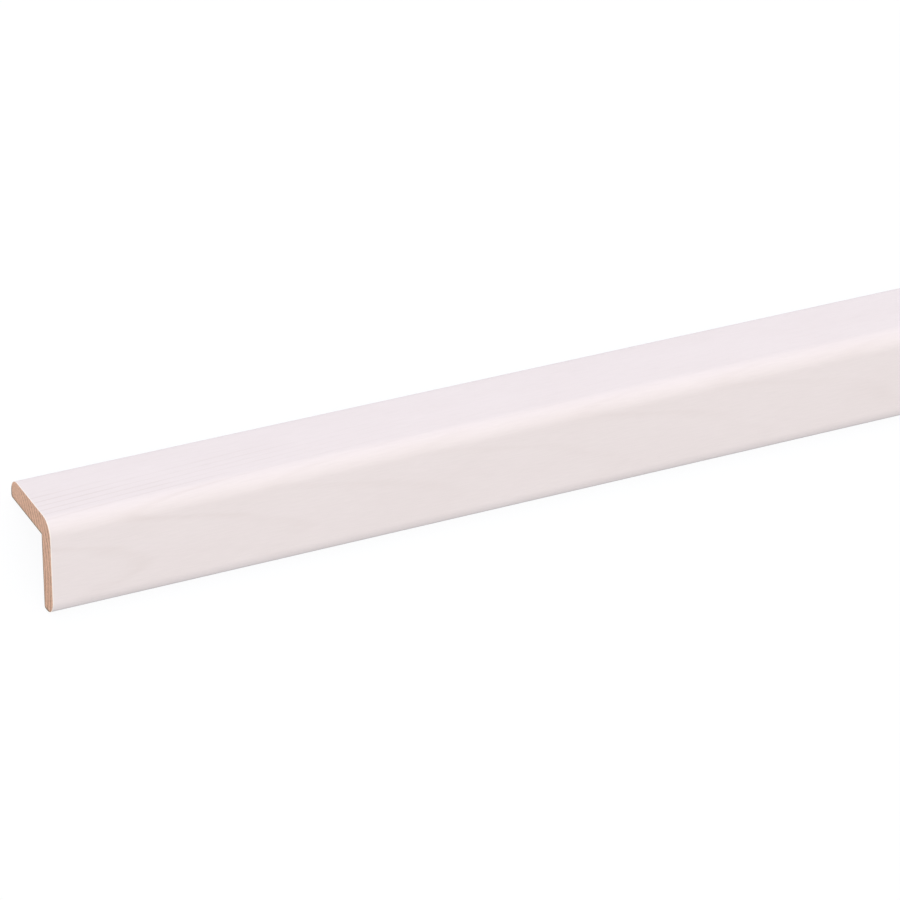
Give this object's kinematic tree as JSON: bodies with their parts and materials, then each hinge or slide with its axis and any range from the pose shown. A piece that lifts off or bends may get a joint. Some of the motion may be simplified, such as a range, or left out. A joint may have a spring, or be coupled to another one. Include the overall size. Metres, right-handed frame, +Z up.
{
  "type": "corner guard moulding",
  "caption": "Straight L-shaped timber moulding with equal legs, a rounded outer corner and rounded tips, coated white with bare sawn ends, to cover and protect an outside wall corner.",
  "frame": {"origin": "on the floor under the middle of the stock, midway between its two leg tips", "axes": "+X along the stock from the end that the picture shows, +Z up through the rounded outer corner, -Y towards the leg that hangs in front in the picture"},
  "size_m": [2.4, 0.0344, 0.0212],
  "materials": {
    "coated_softwood": "thin white satin coat that lets the grain show faintly, square ends bare as sawn"
  },
  "bodies": {
    "root": {"corner_moulding": "coated_softwood"}
  },
  "joints": []
}
